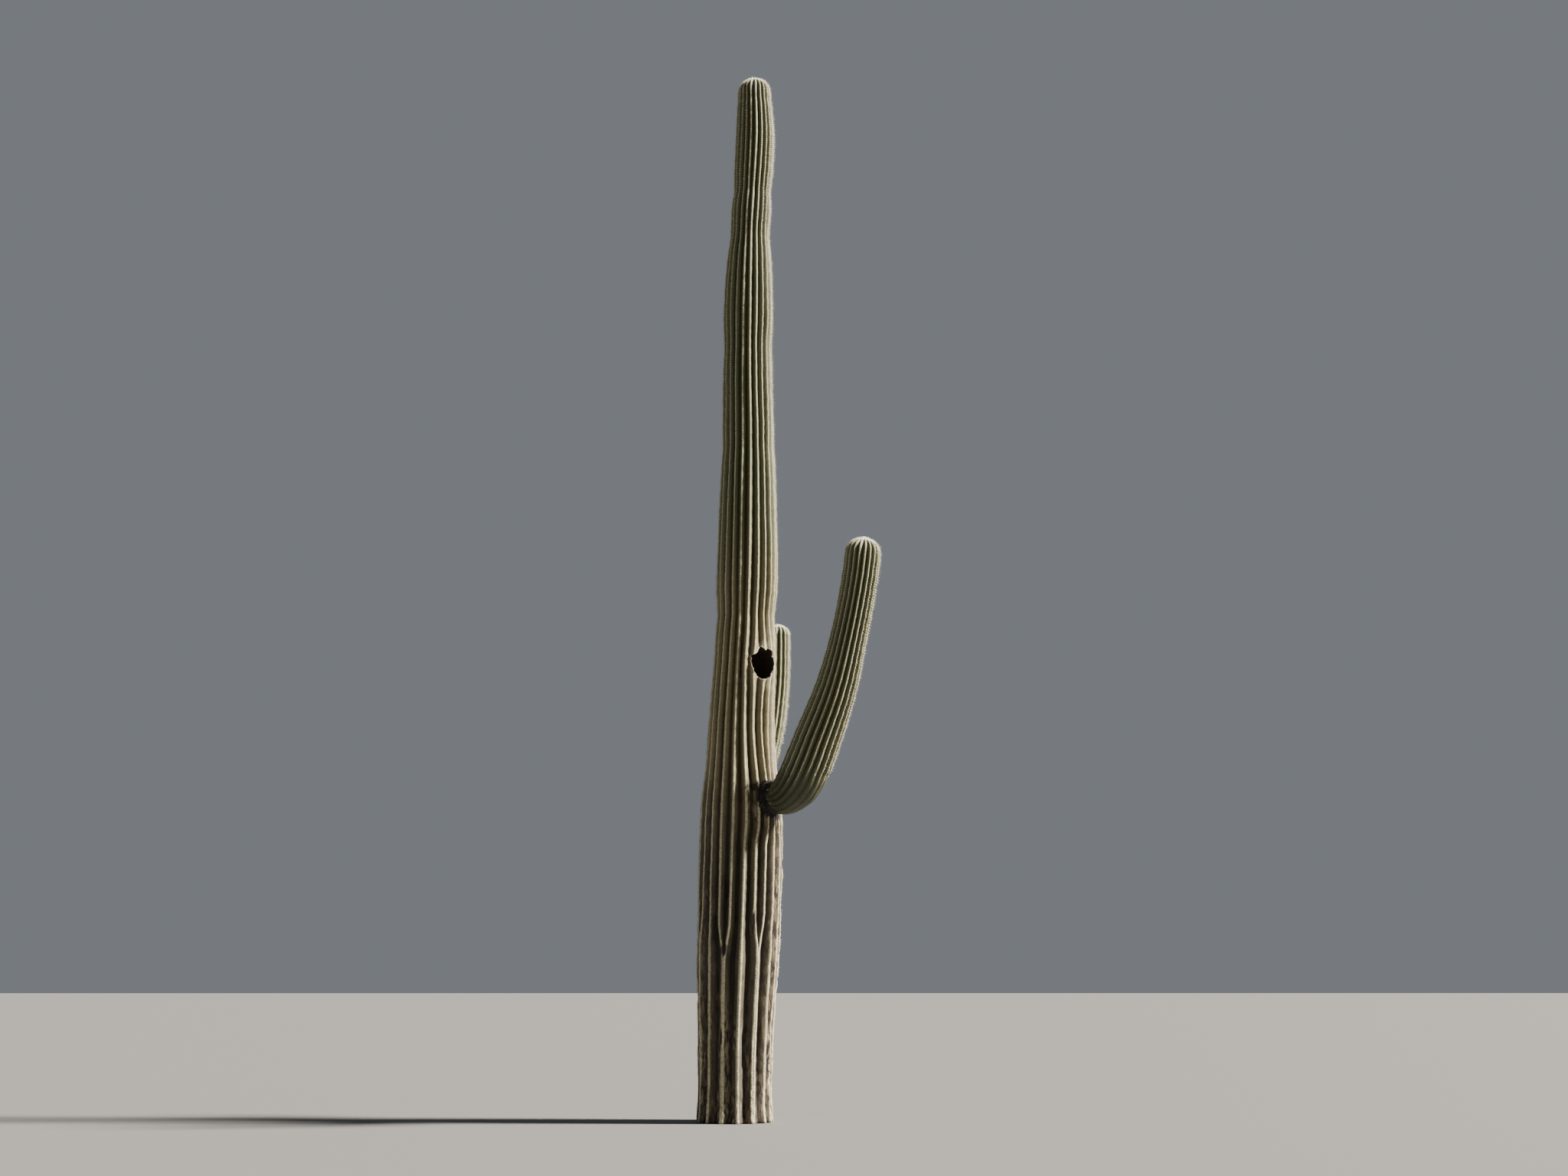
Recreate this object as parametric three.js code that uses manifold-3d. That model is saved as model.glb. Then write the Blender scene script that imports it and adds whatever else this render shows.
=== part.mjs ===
// A saguaro cactus: a tall ribbed trunk with a nest hole, a stout arm at its front right and a slim arm behind it.
// Millimetres, +Z up. The origin is the centre of the flat cut at ground level, +X is to the right, +Y to the back.
import * as THREE from "three";
import { mergeVertices } from "three/addons/utils/BufferGeometryUtils.js";
import Module from "manifold-3d";

const wasm = await Module();
wasm.setup();
const { clamp, degToRad, lerp, smoothstep } = THREE.MathUtils;
const FULL_TURN = Math.PI * 2;

// Trunk
const TRUNK_HEIGHT = 8200;
const TRUNK_DOME = 115; // height of the rounded tip
// Stations up the trunk: height, how far its centre stands to the right, and its radius over the rib crests.
const TRUNK_STATIONS = [
  [0, 0, 292],
  [170, 0, 279],
  [600, 4, 286],
  [1150, 18, 310],
  [1900, 37, 321],
  [2330, 43, 312],
  [2650, 38, 274],
  [3050, 43, 250],
  [3550, 64, 236],
  [4150, 79, 238],
  [4700, 83, 223],
  [5200, 84, 204],
  [5700, 77, 194],
  [6300, 81, 194],
  [6900, 93, 164],
  [7300, 114, 155],
  [7700, 131, 154],
  [8085, 124, 131],
];
// Waists that dry seasons left: height, half width and how much they take off the radius.
const TRUNK_WAISTS = [
  [3800, 130, 12],
  [5120, 90, 5],
  [5950, 140, 8],
  [6860, 130, 12],
  [7240, 90, 9],
];
const TRUNK_BACK_SWAY = 22; // the trunk's slow sway to the back and the front
const TRUNK_RING_STEP = 160; // between the level rings of its surface

// Ribs: in each group of three the first two draw together below the fork, and go on as one.
const TRUNK_RIBS = 22;
const RIB_GROUP = 3;
const RIB_TURN = degToRad(-12.2); // turns the whole pattern, from +X towards +Y
const FORK_HEIGHT = 1360;
const FORK_STAGGER = 60; // how much higher or lower the forks of single groups lie
const FORK_REACH = 170; // half the height over which two ribs draw together
const JOINED_GAP = 0.1; // what stays between two joined ribs, as a share of a rib
const RIB_DEPTH = 0.13; // of the limb's radius
const CREST_SHARE = 0.36; // how much of a rib's width its rounded crest takes
const CREST_DROP = 0.03; // how far the crest's shoulders lie under the silhouette, of the radius

// Nest hole, a rounded hollow in the swollen front right of the trunk
const HOLE_HEIGHT = 3400;
const HOLE_RADIUS = 121;
const HOLE_DEPTH = 185;
const HOLE_AZIMUTH = degToRad(-51.5); // from +X towards +Y
const HOLE_SIDES = 20;
const HOLE_ROUND_STEPS = 4;
const SWELLING = 24; // how far the trunk stands out round the hole
const SWELLING_HEIGHT = 260;
const SWELLING_TURN = degToRad(42);
const PARTING = 0.35; // how far ribs part round the hole, as a share of their turn from it
const PARTING_HEIGHT = 170;
const PARTING_TURN = 0.42;

// Ribs gather above the foot of each arm, from the higher level down to the lower one.
const GATHER_TOP = [2500, 2950];
const GATHER_FOOT = [2000, 2200];
const GATHER_TURN = 0.5;

// Arms: control points of the centre line, as distance from the trunk's middle and height, in a plane at an azimuth.
// Girth stations are a share of the line's length and the radius over the rib crests there.
const ARMS = {
  front_arm: {
    azimuth: degToRad(-40),
    line: [[130, 2385], [300, 2378], [432, 2390], [552, 2478], [650, 2630], [735, 2800],
      [907, 3160], [1036, 3560], [1133, 3960], [1178, 4255]],
    girth: [[0, 110], [0.08, 114], [0.135, 152], [0.2, 178], [0.34, 177], [0.52, 155], [0.7, 136], [0.93, 133]],
    dome: 110,
    ribs: 20,
    elbowLength: 640,
    ringStep: 115,
    gathering: 0.5,
  },
  rear_arm: {
    azimuth: degToRad(56.5),
    line: [[120, 2455], [235, 2515], [345, 2680], [416, 2890], [470, 3120], [507, 3380], [517, 3795]],
    girth: [[0, 76], [0.12, 78], [0.28, 90], [0.5, 99], [0.92, 96]],
    dome: 85,
    ribs: 15,
    elbowLength: 600,
    ringStep: 105,
    gathering: 0.3,
  },
};
const ELBOW_RING_STEP = 75;
const JOIN_GAP = 0.5; // between two solids that meet, or a little less where they meet at a slant
const DOME_RINGS = 5;

// One column of a table of stations as a smooth function of the first column.
function smoothTable(stations, column) {
  const slopes = stations.map((_, i) => {
    const before = stations[Math.max(i - 1, 0)];
    const after = stations[Math.min(i + 1, stations.length - 1)];
    return (after[column] - before[column]) / (after[0] - before[0]);
  });
  return (at) => {
    let i = 0;
    while (i < stations.length - 2 && at > stations[i + 1][0]) i += 1;
    const span = stations[i + 1][0] - stations[i][0];
    const t = clamp((at - stations[i][0]) / span, 0, 1);
    const even = lerp(stations[i][column], stations[i + 1][column], t * t * (3 - 2 * t));
    return even + t * (1 - t) * ((1 - t) * slopes[i] - t * slopes[i + 1]) * span;
  };
}

// What a rounded tip leaves of the limb's radius at a distance from the tip.
function domeShare(toTip, dome) {
  const up = clamp(1 - toTip / dome, 0, 1);
  return Math.sqrt(1 - up * up);
}

// A bump that is 1 in the middle and fades to nothing a few widths away.
function bell(offset, width) {
  return Math.exp(-((offset / width) ** 2));
}

// Where a limb gets its rings: at even steps from one place to another, then closer round its dome.
function ringPlaces(from, to, step, dome = 0) {
  const body = to - dome - from;
  const count = Math.round(body / step);
  const places = Array.from({ length: count + 1 }, (_, i) => from + (body * i) / count);
  for (let i = 1; dome > 0 && i < DOME_RINGS; i += 1)
    places.push(to - dome + dome * Math.sin((i / DOME_RINGS) * (Math.PI / 2)));
  return places;
}

// The crest angles of a limb with evenly spaced ribs.
function evenCrests(count) {
  return Array.from({ length: count }, (_, i) => ((i + 0.5) * FULL_TURN) / count);
}

// The turn from one angle to another, from minus to plus half a turn.
function turnBetween(from, to) {
  return Math.atan2(Math.sin(to - from), Math.cos(to - from));
}

// Draws a crest away from the nest hole beside it, and towards the foot of an arm below it.
function drawnAside(crest, height) {
  const offHole = turnBetween(HOLE_AZIMUTH, crest);
  let angle = crest + PARTING * offHole * bell(offHole, PARTING_TURN) * bell(height - HOLE_HEIGHT, PARTING_HEIGHT);
  const near = (1 - smoothstep(height, ...GATHER_TOP)) * smoothstep(height, ...GATHER_FOOT);
  for (const arm of Object.values(ARMS)) {
    const offArm = turnBetween(arm.azimuth, angle);
    angle -= arm.gathering * offArm * bell(offArm, GATHER_TURN) * near;
  }
  return angle;
}

// The trunk's crest angles at a height. The first two ribs of each whole group draw together below the fork.
function trunkCrests(height) {
  const rib = FULL_TURN / TRUNK_RIBS;
  return evenCrests(TRUNK_RIBS).map((even, i) => {
    const group = Math.floor(i / RIB_GROUP);
    const inPair = i % RIB_GROUP < 2 && (group + 1) * RIB_GROUP <= TRUNK_RIBS;
    const middle = (group * RIB_GROUP + 1) * rib;
    const fork = FORK_HEIGHT + FORK_STAGGER * Math.sin(group * 2.1);
    const apart = lerp(JOINED_GAP, 1, smoothstep(height, fork - FORK_REACH, fork + FORK_REACH));
    const crest = inPair ? middle + (even - middle) * apart : even;
    return drawnAside(crest + RIB_TURN, height);
  });
}

// A ring's outline as [angle, share of the radius]: for each rib its crest's two shoulders and the valley after it.
function ringOutline(crests) {
  const usual = FULL_TURN / crests.length;
  return crests.flatMap((crest, i) => {
    const before = crest - (i > 0 ? crests[i - 1] : crests[crests.length - 1] - FULL_TURN);
    const after = (i + 1 < crests.length ? crests[i + 1] : crests[0] + FULL_TURN) - crest;
    return [
      [crest - (before * CREST_SHARE) / 2, 1 - CREST_DROP],
      [crest + (after * CREST_SHARE) / 2, 1 - CREST_DROP],
      [crest + after / 2, 1 - RIB_DEPTH * Math.min(1.2, after / usual)],
    ];
  });
}

// Triangles of a flat cap on a ring of points, as indices into the ring. They face along the given direction.
function capFaces(ring, facing) {
  const across = ring[0].clone().sub(ring[ring.length >> 1]).normalize();
  const aside = new THREE.Vector3().crossVectors(facing, across);
  const flat = ring.map((point) => new THREE.Vector2(point.dot(across), point.dot(aside)));
  return THREE.ShapeUtils.triangulateShape(flat, []).map((face) => {
    const [a, b, c] = face.map((i) => flat[i]);
    const turn = (b.x - a.x) * (c.y - a.y) - (b.y - a.y) * (c.x - a.x);
    return turn > 0 ? face : face.toReversed();
  });
}

// A closed surface through rings of equal count, that run from the foot up. Without a tip it ends in a flat cap.
function skin(rings, footFacing, { tip, headFacing }) {
  const count = rings[0].length;
  const points = rings.flat();
  const head = points.length - count;
  const faces = capFaces(rings[0], footFacing).flat();
  for (let ring = 0; ring + 1 < rings.length; ring += 1)
    for (let i = 0; i < count; i += 1) {
      const here = ring * count + i;
      const next = ring * count + ((i + 1) % count);
      faces.push(here, next, next + count, here, next + count, here + count);
    }
  if (tip) {
    points.push(tip);
    for (let i = 0; i < count; i += 1) faces.push(head + i, head + ((i + 1) % count), points.length - 1);
  } else {
    faces.push(...capFaces(rings.at(-1), headFacing).flat().map((i) => i + head));
  }
  return new THREE.BufferGeometry().setFromPoints(points).setIndex(faces);
}

const trunkShift = smoothTable(TRUNK_STATIONS, 1);
const trunkGirth = smoothTable(TRUNK_STATIONS, 2);

function trunkCentre(height) {
  const back = TRUNK_BACK_SWAY * Math.sin((height / TRUNK_HEIGHT) * FULL_TURN);
  return new THREE.Vector3(trunkShift(height), back, height);
}

function trunkRadius(height) {
  const girth = trunkGirth(Math.min(height, TRUNK_HEIGHT - TRUNK_DOME));
  const waists = TRUNK_WAISTS.reduce((sum, [at, width, depth]) => sum + depth * bell(height - at, width), 0);
  return (girth - waists) * domeShare(TRUNK_HEIGHT - height, TRUNK_DOME);
}

function holeSwelling(angle, height) {
  const turn = turnBetween(HOLE_AZIMUTH, angle);
  return SWELLING * bell(height - HOLE_HEIGHT, SWELLING_HEIGHT) * bell(turn, SWELLING_TURN);
}

// The whole trunk without its hole, grown all round by a clearance.
function trunkGeometry(clearance = 0) {
  const rings = ringPlaces(0, TRUNK_HEIGHT, TRUNK_RING_STEP, TRUNK_DOME).map((height) => {
    const centre = trunkCentre(height);
    return ringOutline(trunkCrests(height)).map(([angle, share]) => {
      const radius = trunkRadius(height) * share + holeSwelling(angle, height) + clearance;
      return new THREE.Vector3(radius * Math.cos(angle), radius * Math.sin(angle), 0).add(centre);
    });
  });
  return skin(rings, new THREE.Vector3(0, 0, -1), { tip: trunkCentre(TRUNK_HEIGHT) });
}

// The nest hole as a plug with a round inner end, lying along the hole's azimuth and standing out of the trunk.
function holeGeometry() {
  const standsOut = 90;
  const profile = Array.from({ length: HOLE_ROUND_STEPS + 1 }, (_, i) => {
    const turn = ((i / HOLE_ROUND_STEPS) * Math.PI) / 2;
    return new THREE.Vector2(Math.sin(turn), 1 - Math.cos(turn)).multiplyScalar(HOLE_RADIUS);
  });
  profile.push(new THREE.Vector2(HOLE_RADIUS, HOLE_DEPTH + standsOut));
  profile.push(new THREE.Vector2(0, HOLE_DEPTH + standsOut));
  const out = new THREE.Vector3(Math.cos(HOLE_AZIMUTH), Math.sin(HOLE_AZIMUTH), 0);
  const mouth = trunkRadius(HOLE_HEIGHT) + SWELLING;
  const inner = trunkCentre(HOLE_HEIGHT).addScaledVector(out, mouth - HOLE_DEPTH);
  return new THREE.LatheGeometry(profile, HOLE_SIDES)
    .applyQuaternion(new THREE.Quaternion().setFromUnitVectors(new THREE.Vector3(0, 1, 0), out))
    .translate(inner.x, inner.y, inner.z);
}

// The centre line of an arm, which lies in an upright plane through the trunk's middle.
function armCurve(arm) {
  const middle = trunkCentre(arm.line[0][1]).setZ(0);
  const points = arm.line.map(([reach, height]) => new THREE.Vector3(
    middle.x + reach * Math.cos(arm.azimuth), middle.y + reach * Math.sin(arm.azimuth), height));
  const curve = new THREE.CatmullRomCurve3(points);
  curve.arcLengthDivisions = 2000;
  return curve;
}

// A stretch of an arm between two lengths along its line. It reaches the tip where no end is given.
function armGeometry(arm, ringStep, from, to) {
  const curve = armCurve(arm);
  const length = curve.getLength();
  const girth = smoothTable(arm.girth, 1);
  const side = new THREE.Vector3(-Math.sin(arm.azimuth), Math.cos(arm.azimuth), 0);
  const outline = ringOutline(evenCrests(arm.ribs));
  const rings = ringPlaces(from, to ?? length, ringStep, to ? 0 : arm.dome).map((place) => {
    const centre = curve.getPointAt(place / length);
    const across = new THREE.Vector3().crossVectors(side, curve.getTangentAt(place / length));
    const radius = girth(place / length) * domeShare(length - place, arm.dome);
    return outline.map(([angle, share]) => centre.clone()
      .addScaledVector(across, radius * share * Math.cos(angle))
      .addScaledVector(side, radius * share * Math.sin(angle)));
  });
  const footFacing = curve.getTangentAt(from / length).negate();
  return skin(rings, footFacing, to ? { headFacing: curve.getTangentAt(to / length) } : { tip: curve.getPointAt(1) });
}

function toSolid(geometry) {
  const bare = new THREE.BufferGeometry()
    .setAttribute("position", geometry.getAttribute("position"))
    .setIndex(geometry.getIndex());
  const merged = mergeVertices(bare, 1e-3);
  return new wasm.Manifold(new wasm.Mesh({
    numProp: 3,
    vertProperties: merged.getAttribute("position").array,
    triVerts: new Uint32Array(merged.getIndex().array),
  }));
}

function toGeometry(solid) {
  const { vertProperties, triVerts } = solid.getMesh();
  return new THREE.BufferGeometry()
    .setAttribute("position", new THREE.BufferAttribute(vertProperties, 3))
    .setIndex(new THREE.BufferAttribute(triVerts, 1));
}

// An elbow starts inside the trunk, and what lies outside the trunk is kept.
function elbowGeometry(arm) {
  const whole = toSolid(armGeometry(arm, ELBOW_RING_STEP, 0, arm.elbowLength));
  const pieces = whole.subtract(toSolid(trunkGeometry(JOIN_GAP))).decompose();
  return toGeometry(pieces.reduce((most, piece) => (piece.volume() > most.volume() ? piece : most)));
}

function named(name, geometry, material) {
  geometry.computeVertexNormals();
  const mesh = new THREE.Mesh(geometry, material);
  mesh.name = name;
  return mesh;
}

const oldSkin = new THREE.MeshStandardMaterial({ color: 0x7d7450, roughness: 0.85, metalness: 0 });
const youngSkin = new THREE.MeshStandardMaterial({ color: 0x66713c, roughness: 0.8, metalness: 0 });

const cactus = new THREE.Group();
const hollowTrunk = toSolid(trunkGeometry()).subtract(toSolid(holeGeometry()));
cactus.add(named("trunk", toGeometry(hollowTrunk), oldSkin));
for (const [name, arm] of Object.entries(ARMS)) {
  cactus.add(named(`${name}_elbow`, elbowGeometry(arm), youngSkin));
  cactus.add(named(`${name}_upper`, armGeometry(arm, arm.ringStep, arm.elbowLength + JOIN_GAP), youngSkin));
}

export default cactus;
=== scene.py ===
"""The looks of a saguaro cactus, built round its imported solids.

Metres, +Z up, in the solids' frame: the origin is the centre of the flat cut at ground level, +X is to the
right and +Y to the back. The trunk and the arms follow the same rules as the solids, sampled more finely, and
have the bark's relief on top. The nest hole's lining, cork, felt and spines are made here alone.
"""
import math

import bpy
import numpy as np
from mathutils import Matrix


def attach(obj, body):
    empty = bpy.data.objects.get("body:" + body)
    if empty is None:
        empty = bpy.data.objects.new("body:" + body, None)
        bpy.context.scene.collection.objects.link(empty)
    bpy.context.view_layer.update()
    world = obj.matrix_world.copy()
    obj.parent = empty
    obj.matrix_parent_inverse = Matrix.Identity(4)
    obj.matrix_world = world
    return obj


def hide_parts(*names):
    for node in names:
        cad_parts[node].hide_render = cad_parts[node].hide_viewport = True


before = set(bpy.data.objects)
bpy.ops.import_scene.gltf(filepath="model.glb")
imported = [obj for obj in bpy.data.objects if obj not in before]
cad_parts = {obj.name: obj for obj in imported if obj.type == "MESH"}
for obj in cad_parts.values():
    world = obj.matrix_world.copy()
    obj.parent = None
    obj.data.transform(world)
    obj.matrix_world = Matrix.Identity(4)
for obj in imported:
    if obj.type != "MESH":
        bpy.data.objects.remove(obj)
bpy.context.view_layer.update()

FULL_TURN = 2 * math.pi

# Camera: the photograph's place and angle, with a longer lens so that the plant fills the frame
CAMERA_PLACE = (0.0, -16.11, 1.01)
CAMERA_PITCH = math.radians(10.57)
CAMERA_YAW = math.radians(-1.3)
PHOTO_LENS = 27.0
ZOOM = 1.8

# Lights: turn from the camera's side to the right, height above the level, distance, size, power and tint
KEY_LIGHT = dict(
    kind="SUN",
    turn=math.radians(86),
    above=math.radians(39),
    distance=30,
    energy=23,
    color=(1.0, 0.94, 0.84),
    angle=math.radians(8),
)
FILL_LIGHT = dict(
    kind="AREA",
    turn=math.radians(-40),
    above=math.radians(25),
    distance=14,
    energy=50,
    color=(0.90, 0.94, 1.0),
    size=6,
)
LIGHTS_AIM = (0.1, 0.0, 3.8)
WORLD_TINT = (0.82, 0.88, 0.96)
WORLD_STRENGTH = 0.22
FLOOR_COLOUR = (0.12, 0.118, 0.114)
FLOOR_REACH = 200

# Trunk: height, how far its centre stands to the right, and its radius over the rib crests
TRUNK_HEIGHT = 8.2
TRUNK_DOME = 0.115
TRUNK_STATIONS = [
    (0.0, 0.0, 0.292),
    (0.17, 0.0, 0.279),
    (0.6, 0.004, 0.286),
    (1.15, 0.018, 0.310),
    (1.9, 0.037, 0.321),
    (2.33, 0.043, 0.312),
    (2.65, 0.038, 0.274),
    (3.05, 0.043, 0.250),
    (3.55, 0.064, 0.236),
    (4.15, 0.079, 0.238),
    (4.7, 0.083, 0.223),
    (5.2, 0.084, 0.204),
    (5.7, 0.077, 0.194),
    (6.3, 0.081, 0.194),
    (6.9, 0.093, 0.164),
    (7.3, 0.114, 0.155),
    (7.7, 0.131, 0.154),
    (8.085, 0.124, 0.131),
]
# Waists: height, half width and how much they take off the radius
TRUNK_WAISTS = [
    (3.8, 0.13, 0.012), (5.12, 0.09, 0.005), (5.95, 0.14, 0.008),
    (6.86, 0.13, 0.012), (7.24, 0.09, 0.009), (8.02, 0.03, 0.004),
]
TRUNK_BACK_SWAY = 0.022

# Ribs
TRUNK_RIBS = 22
RIB_GROUP = 3
RIB_TURN = math.radians(-12.2)
FORK_HEIGHT = 1.36
FORK_STAGGER = 0.06
FORK_STAGGER_TURN = 2.1
FORK_REACH = 0.17
JOINED_GAP = 0.1
RIB_DEPTH = 0.165
# A rib is deeper where the gap beside it is wider, up to this share of an even one
WIDEST_SHARE = 1.2
CREST_ROUNDING = 0.24
# Crests dip in and out by a share of the radius, and sway sideways by an angle
CREST_WOBBLE = 0.022
WOBBLE_LENGTH = 0.22
CREST_SWAY = 0.012
SWAY_RATE = 1.9
SWAY_STEP = 1.7
# Ribs are flatter on the trunk's old foot
FOOT_FLATNESS = 0.25
FOOT_TOP = 0.9
RIB_SAMPLES = (-1, -0.86, -0.68, -0.5, -0.32, -0.15, 0, 0.15, 0.32, 0.5, 0.68, 0.86)
# Ribs part round the nest hole, and gather above the foot of an arm
PARTING = 0.35
PARTING_OFFSET = -0.08
PARTING_TURN = 0.42
PARTING_REACH = 0.17
GATHERING = 0.5
GATHERING_TURN = 0.5
# Heights from where ribs don't gather to where they do, from above and from below
GATHER_TOP = (2.95, 2.5)
GATHER_FOOT = (2.0, 2.2)

# Nest hole
HOLE_HEIGHT = 3.4
HOLE_RADIUS = 0.121
HOLE_AZIMUTH = math.radians(-51.5)
HOLE_OUT = np.array([math.cos(HOLE_AZIMUTH), math.sin(HOLE_AZIMUTH), 0])
UP = np.array([0, 0, 1.0])
# To the right of the hole's middle, above it, and out along its axis
HOLE_AXES = np.array([np.cross(UP, HOLE_OUT), UP, HOLE_OUT])
SWELLING = 0.024
SWELLING_HEIGHT = 0.26
SWELLING_TURN = math.radians(42)
# Ribs are flatter round the hole, where the trunk has about this radius
RIM_FLATNESS = 0.75
RIM_REACH = 1.4 * HOLE_RADIUS
RIM_TRUNK_RADIUS = 0.25
# The mouth's shape, in shares of its radius: wider to the right, taller than round, and rippled
MOUTH_RIGHT = 0.07
MOUTH_TALL = 0.03
MOUTH_RIPPLE = 0.012
MOUTH_RIPPLES = (7, 17)
# Teeth (inwards) and notches of the mouth: degrees from its right side up, width, share of the radius
MOUTH_TEETH = [
    (45, 9, -0.04), (88, 8, -0.20), (104, 6, 0.10), (132, 12, -0.10),
    (155, 7, 0.09), (205, 14, -0.04), (305, 9, -0.04),
]
LIP_SIDES = 144
LIP_LUMPS = (0.004, 0.024)
# Rings of the callus lip: share of the mouth's radius, and how far out of the skin
LIP_RINGS = [
    (1.22, -0.016), (1.14, -0.007), (1.07, -0.003), (1.03, 0.001),
    (1.0, 0.002), (0.985, 0.000), (0.98, -0.005), (0.98, -0.012),
]
POCKET_LUMPS = (0.006, 0.05)
# Rings of the pocket behind it: share of the hole's radius, and depth. It is round from POCKET_EVEN inwards.
POCKET_EVEN = 0.08
POCKET_RINGS = [
    (0.97, 0.02), (1.0, 0.06), (1.02, 0.10),
    (0.98, 0.145), (0.82, 0.18), (0.5, 0.198),
]

# Arms: centre lines as reach and height, girths as share of the length and radius, and their skin's age on a
# scale from 0 at the trunk's tip to 1 at its foot
ARM_AGE = 0.35
ARMS = {
    "front_arm": dict(
        azimuth=math.radians(-40),
        line=[
            (0.130, 2.385), (0.300, 2.378), (0.432, 2.390), (0.552, 2.478), (0.650, 2.630),
            (0.735, 2.800), (0.907, 3.160), (1.036, 3.560), (1.133, 3.960), (1.178, 4.255),
        ],
        girth=[
            (0, 0.110), (0.08, 0.114), (0.135, 0.152), (0.2, 0.178),
            (0.34, 0.177), (0.52, 0.155), (0.7, 0.136), (0.93, 0.133),
        ],
        dome=0.110,
        ribs=20,
        foot=0.165,
        collar=1.0,
    ),
    "rear_arm": dict(
        azimuth=math.radians(56.5),
        line=[
            (0.120, 2.455), (0.235, 2.515), (0.345, 2.680), (0.416, 2.890),
            (0.470, 3.120), (0.507, 3.380), (0.517, 3.795),
        ],
        girth=[(0, 0.076), (0.12, 0.078), (0.28, 0.090), (0.5, 0.099), (0.92, 0.096)],
        dome=0.085,
        ribs=15,
        foot=0.150,
        collar=0.6,
    ),
}
# An arm's skin is stretched on its foot and under its bend, and plain all round it, with few spines: from
# where that ends to where it is full, counted from the arm's foot
STRETCHED_FOOT = (0.34, 0.04)
STRETCHED_UNDER = (0.62, 0.25)
PLAIN_BEND = (0.55, 0.20)
COLLAR_SIDES = 160
COLLAR_LUMPS = (0.010, 0.04)
COLLAR_CRACKS = (0.012, 0.035, 0.16)
# Rings of the cork round an arm's foot: place along the arm from its foot, and how far out of its skin
COLLAR_RINGS = [
    (-0.060, 0.004), (-0.038, 0.018), (-0.018, 0.023), (0.000, 0.020),
    (0.016, 0.013), (0.030, 0.006), (0.044, 0.000), (0.056, -0.010),
]

# Wounds on the trunk: turn to the right of the camera's side in degrees, height, half width, half height
WOUNDS = [
    (-19, 1.70, 0.016, 0.085),
    (-38, 1.42, 0.020, 0.100),
    (-21, 1.26, 0.024, 0.050),
    (21, 1.45, 0.008, 0.100),
    (-7, 3.42, 0.006, 0.300),
    (-24, 0.62, 0.012, 0.060),
    (12, 0.55, 0.010, 0.120),
    (66, 0.40, 0.014, 0.070),
    (150, 2.10, 0.018, 0.070),
    (-120, 1.60, 0.016, 0.090),
    (-150, 3.10, 0.014, 0.060),
]
WOUND_DEPTH = 0.014
# Black patches where the front arm's scab runs out on the trunk, in the same way; the first is partly the
# arm's cast shadow, painted on
SCABS_AND_ARM_SHADOW = [(30, 2.452, 0.100, 0.034), (60, 2.235, 0.045, 0.020)]
# Bark: all over the trunk below CORK_TOP, in patches above, and on the lower trunk's sunny side
CORK_TOP = 0.85
PATCH_SIZE = 0.14
WEATHERED_AZIMUTH = math.radians(-8)
WEATHERED_TURN = math.radians(38)
WEATHERED_TOP = 2.25

# Relief: height or depth, size, and the width of cracks as a share of it. Rates are in radians a metre.
SKIN_LUMPS = 0.0018
CORK_LUMPS = 0.005
LUMP_SIZE = 0.05
CRACKS = (0.006, 0.03, 0.12)
SCAB_LUMPS = (0.010, 0.03)
# How much noise there is in the edges of wounds and scabs, and its size
SPOT_EDGE = (0.35, 0.03)
SCAB_EDGE = (0.05, 0.03)
GROWTH_BANDS = 0.0012
BAND_RATE = 64
BAND_DRIFT = 2.2
BAND_DRIFT_RATE = 7.3

# Rows of the skins' meshes: even steps, how far inside the trunk an arm's rows start, and the height, reach
# and step of the trunk's finer stretches
ARM_ROW = 0.014
TRUNK_ROW = 0.032
ARM_SUNK = 0.06
TRUNK_FINE_ROWS = [
    (HOLE_HEIGHT, 0.2, 0.009),
    (1.35, 0.4, 0.016),
    (2.4, 0.2, 0.014),
    (0.3, 0.35, 0.016),
]
# The flat cut takes a tiny disc in the corner of the trunk's unwrap
CUT_UV_PLACE = 0.001
CUT_UV_RADIUS = 0.0008
UV_MARGIN = 0.004

# Spines and felt
AREOLE_SEED = 100
SPINE_SEED = 200
AREOLES_FROM = 0.10
AREOLE_JITTER = 0.16
AREOLE_STEP = 0.019
TIP_AREOLE_STEP = 0.012
TIP_REACH = 0.45
SPINE_WIDTH = 0.0013
SPINE_LENGTH = 0.0115
CENTRAL_SPINE_LENGTH = 0.020
FELT_WIDTH = 0.0055
FELT_HEIGHT = 0.0095
FELT_SUNK = 0.003
FELT_PROUD = 0.004
CROWN_FELT = 0.04
SPINES_OLD = 5
SPINES_YOUNG = 13
SPINES_TIP = 30
SPINES_A_PIECE = 60000
# Distances from the tip from where some spines are young to where all are, and for the white tuft
YOUNG_REACH = (5.2, 2.2)
TUFT_REACH = (0.17, 0.03)
ARM_YOUNG = 0.8
# The golden angle, by which the spines of a cluster follow each other
GOLDEN_TURN = 2.39996

# Factors and shifts that scatter the bits of a whole number, for the noise
SEED_STEP = 7919
SEED_START = 17
CELL_FACTORS = np.array([73856093, 19349663, 83492791], np.uint64)
SCATTER_STEPS = [(15, 2246822519), (13, 3266489917), (16, 1)]
LOW_BITS = np.uint64(0xFFFFFFFF)


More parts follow.
